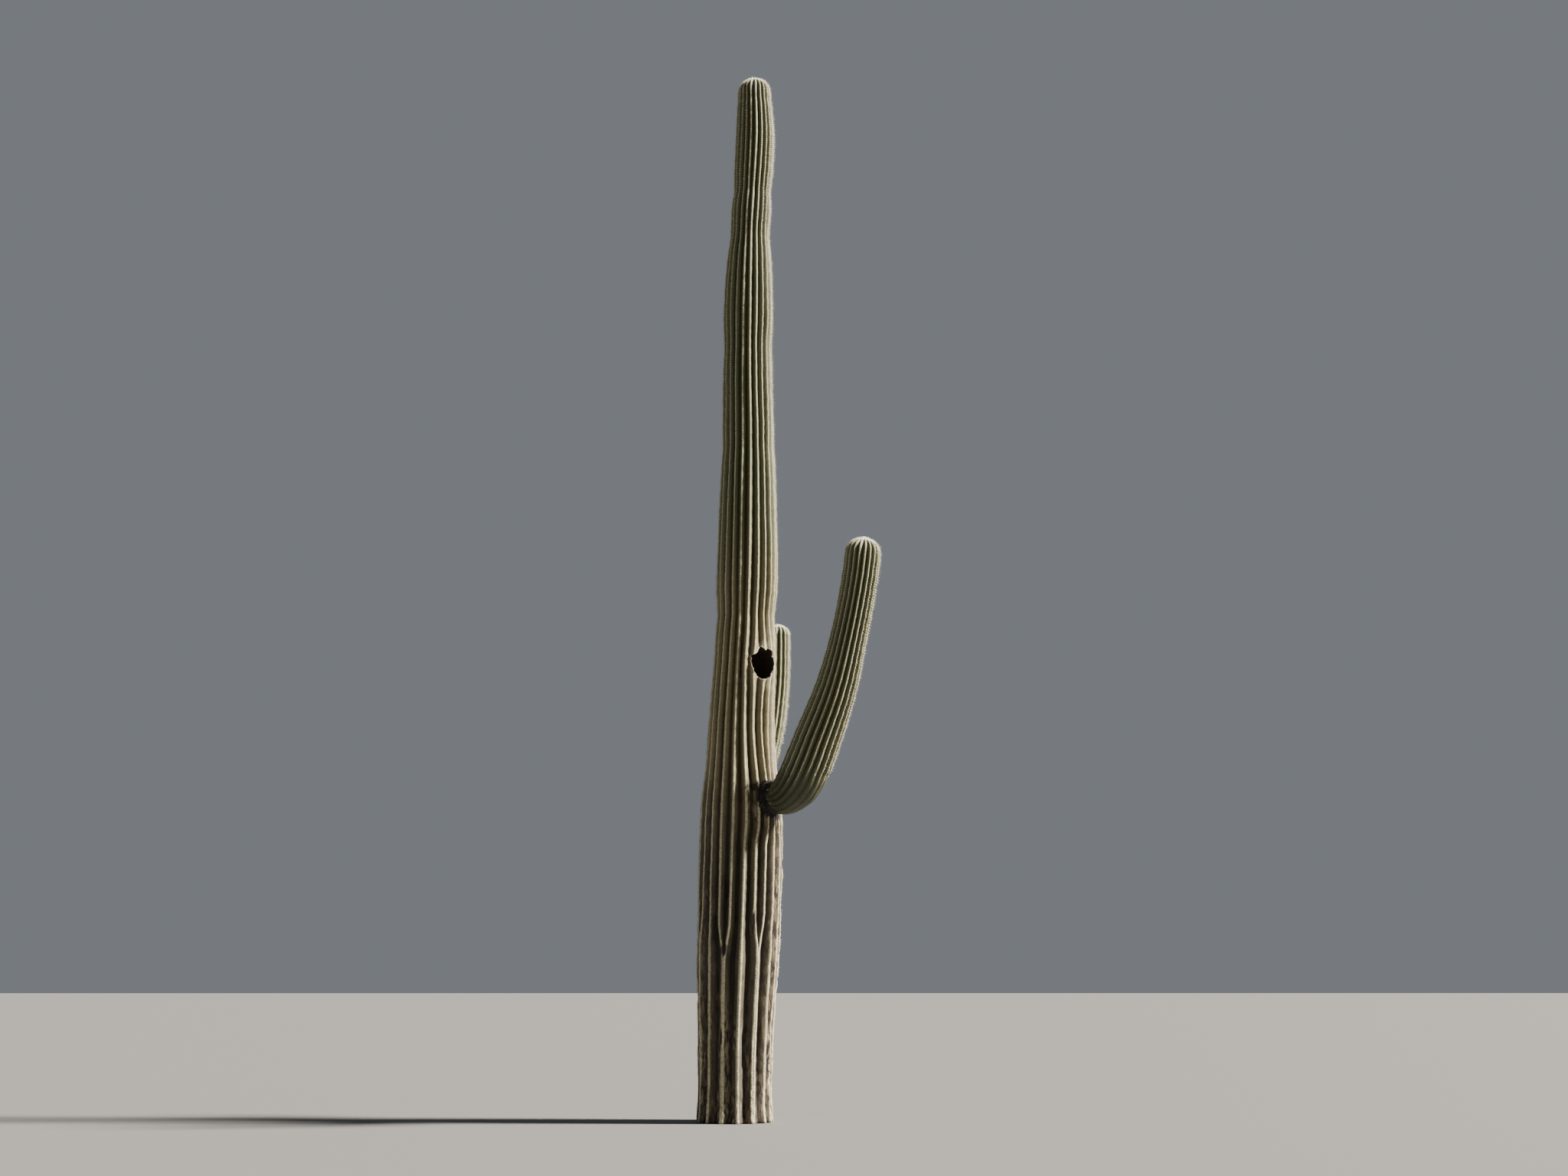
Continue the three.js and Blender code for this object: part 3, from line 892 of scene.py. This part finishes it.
def build_spines(limb, spine_materials, felt_materials):
    """All the spines and felt pads of a limb, joined in bands of its height."""
    random = np.random.default_rng(SPINE_SEED + limb.seed)
    bases, outward, up, place, to_tip = areoles(limb)
    young = ramp(to_tip, *YOUNG_REACH) if limb is trunk else np.full(len(to_tip), ARM_YOUNG)
    tuft = ramp(to_tip, *TUFT_REACH)
    wanted = SPINES_OLD + (SPINES_YOUNG - SPINES_OLD) * young + (SPINES_TIP - SPINES_YOUNG) * tuft
    number = np.floor(wanted + random.uniform(0, 1, len(bases))).astype(int)
    owner = np.repeat(np.arange(len(bases)), number)
    count = len(owner)
    order = np.arange(count) - np.repeat(np.cumsum(number) - number, number)
    central = (order == 0) | ((order == 1) & (random.uniform(0, 1, count) < 0.6))
    turn = order * GOLDEN_TURN + random.uniform(0, FULL_TURN, len(bases))[owner]
    spread = np.where(central, random.uniform(0.05, 0.45, count), random.uniform(0.75, 1.35, count))
    directions = spine_directions(outward[owner], up[owner], turn, spread, central, tuft[owner])
    lengths = np.where(central, CENTRAL_SPINE_LENGTH, SPINE_LENGTH) * random.uniform(0.65, 1.25, count)
    lengths = lengths * (0.62 + 0.38 * young[owner]) * (1 - 0.1 * tuft[owner])
    widths = SPINE_WIDTH * random.uniform(0.8, 1.2, count) * np.where(central, 1.25, 1.0)
    group = np.clip(np.floor((1 - young) * 1.6 + random.uniform(0, 1.4, len(bases))), 0, 2).astype(int)
    group = np.where(tuft > random.uniform(0.2, 0.8, len(bases)), 3, group)
    helper = np.where(np.abs(directions[:, 2:]) < 0.9, UP, (1.0, 0, 0))
    first = unit(np.cross(directions, helper)) * widths[:, None] / 2
    corners = ring_corners(bases[owner], first, np.cross(directions, first), 3)
    tips = bases[owner] + directions * lengths[:, None]
    bands = math.ceil(count / SPINES_A_PIECE)
    edges = np.quantile(place[owner], np.linspace(0, 1, bands + 1)[1:-1])
    band = np.searchsorted(edges, place[owner])
    pieces = []
    for k in range(bands):
        mine = band == k
        name = f"{limb.name}_spines_{k + 1}"
        ring = [corner[mine] for corner in corners]
        pieces.append(cone_mesh(name, ring, tips[mine], group[owner][mine], spine_materials))
    sizes = random.uniform(0.75, 1.1, len(bases)) * (0.45 + 0.55 * young)
    return pieces, build_felt(limb, bases, outward, up, sizes, group, felt_materials)


class Nodes:
    """A material's node tree, with a short call for each kind of node."""

    def __init__(self, name):
        self.material = bpy.data.materials.new(name)
        self.material.use_nodes = True
        self.tree = self.material.node_tree
        self.shader = self.tree.nodes["Principled BSDF"]

    def connect(self, value, socket):
        if isinstance(value, bpy.types.NodeSocket):
            self.tree.links.new(value, socket)
        elif isinstance(value, tuple) and len(value) == 3:
            socket.default_value = (*value, 1.0)
        else:
            socket.default_value = value

    def attribute(self, name):
        node = self.tree.nodes.new("ShaderNodeAttribute")
        node.attribute_name = name
        return node.outputs["Fac"]

    def noise(self, scale, detail=3.0, stretch=(1, 1, 1), distortion=0.0):
        place = self.tree.nodes.new("ShaderNodeTexCoord").outputs["Object"]
        mapping = self.tree.nodes.new("ShaderNodeMapping")
        mapping.inputs["Scale"].default_value = stretch
        self.connect(place, mapping.inputs["Vector"])
        node = self.tree.nodes.new("ShaderNodeTexNoise")
        self.connect(mapping.outputs["Vector"], node.inputs["Vector"])
        for name, value in (("Scale", scale), ("Detail", detail), ("Distortion", distortion)):
            node.inputs[name].default_value = value
        return node.outputs["Fac"]

    def math(self, operation, a, b):
        node = self.tree.nodes.new("ShaderNodeMath")
        node.operation = operation
        self.connect(a, node.inputs[0])
        self.connect(b, node.inputs[1])
        return node.outputs[0]

    def range(self, value, low, high, to_low=0.0, to_high=1.0):
        node = self.tree.nodes.new("ShaderNodeMapRange")
        node.interpolation_type = "SMOOTHSTEP"
        for socket, number in zip(node.inputs[1:5], (low, high, to_low, to_high)):
            socket.default_value = number
        self.connect(value, node.inputs[0])
        return node.outputs[0]

    def mix(self, factor, a, b, blend="MIX"):
        """Colour b over colour a, through sockets 6, 7 and 2, the colour ones."""
        node = self.tree.nodes.new("ShaderNodeMix")
        node.data_type = "RGBA"
        node.blend_type = blend
        self.connect(factor, node.inputs["Factor"])
        self.connect(a, node.inputs[6])
        self.connect(b, node.inputs[7])
        return node.outputs[2]

    def bump(self, height, distance, strength, normal=None):
        node = self.tree.nodes.new("ShaderNodeBump")
        node.inputs["Distance"].default_value = distance
        node.inputs["Strength"].default_value = strength
        self.connect(height, node.inputs["Height"])
        if normal is not None:
            self.connect(normal, node.inputs["Normal"])
        return node.outputs["Normal"]

    def finish(self, base, roughness, normal=None):
        self.connect(base, self.shader.inputs["Base Color"])
        self.connect(roughness, self.shader.inputs["Roughness"])
        if normal is not None:
            self.connect(normal, self.shader.inputs["Normal"])
        return self.material


# Colours of the skin and of what grows on it, some as a pair to mix
OLIVE = (0.110, 0.118, 0.043)
TAN = (0.235, 0.192, 0.097)
OLD_TAN = (0.088, 0.069, 0.038)
# stretched skin on an arm's foot and under its bend: its own darker green, darkened further as painted shade
STRETCHED_GREEN_WITH_PAINTED_SHADE = (0.046, 0.050, 0.013)
SPECKS = (0.30, 0.27, 0.18)
CREST_LINE = (0.56, 0.51, 0.335), (0.33, 0.30, 0.19)
BARK = (0.030, 0.022, 0.015), (0.25, 0.20, 0.125)
WORN_BARK = (0.070, 0.053, 0.035)
BARK_PITS = (0.03, 0.022, 0.016)
# black crust of wounds and scabs; on the scabs by the arms' feet it is partly painted shade
CRUST_AND_PAINTED_SHADE = (0.006, 0.005, 0.004), (0.035, 0.026, 0.019)
# the collar's cork: dark brown taken almost to black as painted shade
CORK_AND_PAINTED_SHADE = (0.006, 0.005, 0.004), (0.038, 0.029, 0.022)
CORK_CRACKS = (0.003, 0.002, 0.002)
CALLUS = (0.48, 0.41, 0.26), (0.16, 0.125, 0.07)
# the hole's pocket: brown callus painted almost black as shade
POCKET_PAINTED_SHADE = (0.012, 0.008, 0.004), (0.034, 0.023, 0.013)
# Spines, with their roughness, and felt: young, middling, old, and in the tip's tuft
SPINE_LOOKS = {
    "straw": ((0.66, 0.60, 0.43), 0.55),
    "cream": ((0.58, 0.54, 0.42), 0.6),
    "grey": ((0.36, 0.32, 0.26), 0.75),
    "white": ((0.74, 0.71, 0.60), 0.55),
}
FELT_COLOURS = {
    "cream": (0.36, 0.33, 0.235),
    "tan": (0.34, 0.305, 0.215),
    "dark": (0.10, 0.08, 0.06),
    "white": (0.60, 0.57, 0.46),
}


def skin_colour(n, crest, age, smooth):
    """Waxy skin, olive above and tan below, mottled, stained, banded and specked, with painted shade in the
    valleys.
    """
    mottle = n.noise(6, 5, (1, 1, 0.3))
    band = n.math("ADD", age, n.math("MULTIPLY", n.math("SUBTRACT", mottle, 0.5), 0.12))
    old = n.range(band, 0.64, 0.80)
    body = n.mix(old, n.mix(n.range(band, 0.42, 0.58), OLIVE, TAN), OLD_TAN)
    # stretched skin takes a darker green, which is partly painted shade
    body = n.mix(smooth, body, STRETCHED_GREEN_WITH_PAINTED_SHADE)
    body = n.mix(n.range(mottle, 0.40, 0.68, 0, 0.55), body, (0.62, 0.66, 0.55), "MULTIPLY")
    stains = n.math("MULTIPLY", old, n.range(n.noise(16, 6, (1, 1, 0.35), 0.6), 0.48, 0.62, 0, 0.8))
    body = n.mix(stains, body, (0.42, 0.34, 0.30), "MULTIPLY")
    bands = n.noise(30, 2, (0.05, 0.05, 1))
    body = n.mix(n.range(bands, 0.44, 0.64, 0, 0.5), body, (0.78, 0.78, 0.72), "MULTIPLY")
    grain = n.noise(170, 4, (1, 1, 0.5))
    body = n.mix(n.range(grain, 0.35, 0.65, 0, 0.6), body, (0.62, 0.60, 0.56), "MULTIPLY")
    specks = n.noise(130, 4, (1, 1, 0.7))
    body = n.mix(n.range(specks, 0.60, 0.70, 0, 0.35), body, SPECKS)
    # painted shade: the skin is darkened from the crests down into the rib valleys
    return n.mix(n.range(crest, 0.62, 0.05, 0, 0.94), body, (0.22, 0.21, 0.15), "MULTIPLY")


def crest_line(n, crest, age, smooth):
    """The pale line along a crest: where it is, wider with age and none on smooth skin, and its colour."""
    line = n.range(n.math("ADD", crest, n.math("MULTIPLY", age, 0.14)), 0.84, 1.0, 0, 0.9)
    line = n.math("MULTIPLY", line, n.range(smooth, 0.2, 0.9, 1, 0))
    pale = n.mix(n.range(n.noise(70, 3), 0.35, 0.65), *CREST_LINE)
    return line, n.mix(n.range(age, 0.45, 0.10, 0, 0.6), pale, (0.55, 0.56, 0.50), "MULTIPLY")


def bark_colour(n, crest, flakes):
    """Flaking bark in light and dark brown, with worn patches, pits and painted shade in the valleys."""
    bark = n.mix(n.range(flakes, 0.40, 0.62), *BARK)
    bark = n.mix(n.range(n.noise(9, 4, (1, 1, 0.4)), 0.40, 0.62, 0, 0.8), bark, WORN_BARK)
    # painted shade: the bark is darkened from the crests down into the rib valleys
    bark = n.mix(n.range(crest, 0.55, 0.0, 0, 0.85), bark, (0.22, 0.19, 0.16), "MULTIPLY")
    return n.mix(n.range(n.noise(60, 6, (1, 1, 0.6)), 0.60, 0.68, 0, 0.8), bark, BARK_PITS)


def skin_material():
    """Green skin, bark where the mesh is marked as cork, a pale line on both, and black crust on wounds and
    scabs, partly painted shade.
    """
    n = Nodes("skin")
    crest, age, smooth = map(n.attribute, ("crest", "age", "smooth"))
    cork, wound, scab_and_shadow = map(n.attribute, ("cork", "wound", "scab_and_shadow"))
    line, pale = crest_line(n, crest, age, smooth)
    flakes = n.noise(44, 10, (1, 1, 0.32), 0.15)
    skin = n.mix(line, skin_colour(n, crest, age, smooth), pale)
    skin = n.mix(cork, skin, n.mix(line, bark_colour(n, crest, flakes), pale))
    # wounds and scabs are black crust; on the scabs this is partly painted shade and shadow
    skin = n.mix(n.math("MAXIMUM", wound, scab_and_shadow), skin, n.mix(n.noise(60, 5), *CRUST_AND_PAINTED_SHADE))
    fine = n.bump(n.noise(200, 6, (1, 1, 0.5)), 0.004, 0.8)
    coarse = n.bump(n.math("MULTIPLY", flakes, cork), 0.010, 0.8, fine)
    roughness = n.range(n.math("MAXIMUM", cork, scab_and_shadow), 0.0, 1.0, 0.55, 0.92)
    return n.finish(skin, roughness, coarse)


def lining_material():
    """Dried callus, pale and corky on the lip, with painted shade, almost black, inside."""
    n = Nodes("nest_callus")
    lip = n.mix(n.range(n.noise(40, 6), 0.38, 0.62), *CALLUS)
    # painted shade: inside the hole the callus is painted almost black
    base = n.mix(n.attribute("inner"), lip, n.mix(n.noise(30, 4), *POCKET_PAINTED_SHADE))
    return n.finish(base, 0.9, n.bump(n.noise(120, 5), 0.003, 0.6))


def collar_material():
    """Cracked cork, its dark brown taken almost to black as painted shade where the arm meets the trunk."""
    n = Nodes("scar_cork")
    lumps = n.noise(34, 8)
    from_crack = n.math("ABSOLUTE", n.math("SUBTRACT", n.noise(26, 4), 0.5), 0)
    base = n.mix(n.range(lumps, 0.44, 0.66), *CORK_AND_PAINTED_SHADE)
    base = n.mix(n.range(from_crack, 0.03, 0.0), base, CORK_CRACKS)
    height = n.math("ADD", n.range(from_crack, 0.0, 0.04), n.math("MULTIPLY", lumps, 2))
    return n.finish(base, 0.95, n.bump(height, 0.008, 0.9))


def plain_material(name, base, roughness):
    return Nodes(name).finish(base, roughness)


def add_light(kind, turn, above, distance, **settings):
    """A soft light that looks at the middle of the plant."""
    towards = (math.sin(turn) * math.cos(above), -math.cos(turn) * math.cos(above), math.sin(above))
    light = bpy.data.lights.new("studio_light", kind)
    for name, value in settings.items():
        setattr(light, name, value)
    obj = bpy.data.objects.new("studio_light", light)
    obj.location = [aim + distance * part for aim, part in zip(LIGHTS_AIM, towards)]
    obj.rotation_euler = (math.pi / 2 - above, 0, turn)
    bpy.context.scene.collection.objects.link(obj)


def build_stage():
    """A plain pale floor, the two lights and a pale surround."""
    corners = FLOOR_REACH * np.array([(-1, -1, 0), (1, -1, 0), (1, 1, 0), (-1, 1, 0)], float)
    material = plain_material("floor", FLOOR_COLOUR, 0.9)
    new_mesh("floor", [material], corners, np.array([[0, 1, 2, 3]]))
    world = bpy.data.worlds.new("studio")
    world.use_nodes = True
    background = world.node_tree.nodes["Background"]
    background.inputs["Color"].default_value = (*WORLD_TINT, 1)
    background.inputs["Strength"].default_value = WORLD_STRENGTH
    bpy.context.scene.world = world
    add_light(**KEY_LIGHT)
    add_light(**FILL_LIGHT)


def build_camera():
    data = bpy.data.cameras.new("camera")
    data.lens = PHOTO_LENS * ZOOM
    data.clip_end = 2 * FLOOR_REACH
    camera = bpy.data.objects.new("camera", data)
    camera.location = CAMERA_PLACE
    camera.rotation_euler = (math.pi / 2 + CAMERA_PITCH, 0, CAMERA_YAW)
    bpy.context.scene.collection.objects.link(camera)
    bpy.context.scene.camera = camera


def place_piece(obj, slot, *nodes):
    """Every piece rides on the one body and may stand for solids, which it hides. The slot is not used."""
    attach(obj, "root")
    if nodes:
        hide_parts(*nodes)


build_camera()
build_stage()

skin = skin_material()
# the collar's cork material is partly painted shade
cork = collar_material()
place_piece(build_trunk(skin), "trunk_skin", "trunk")
place_piece(build_nest_lining(lining_material()), "scar")
for arm in arms:
    place_piece(build_arm(arm, skin), "arm_skin", f"{arm.name}_elbow", f"{arm.name}_upper")
    place_piece(build_collar(arm, cork), "scar")

spine_materials = [plain_material(f"spine_{name}", *look) for name, look in SPINE_LOOKS.items()]
felt_materials = [plain_material(f"felt_{name}", base, 0.95) for name, base in FELT_COLOURS.items()]
for limb in (trunk, *arms):
    spines, felt = build_spines(limb, spine_materials, felt_materials)
    for piece in spines:
        place_piece(piece, "spines")
    place_piece(felt, "felt")
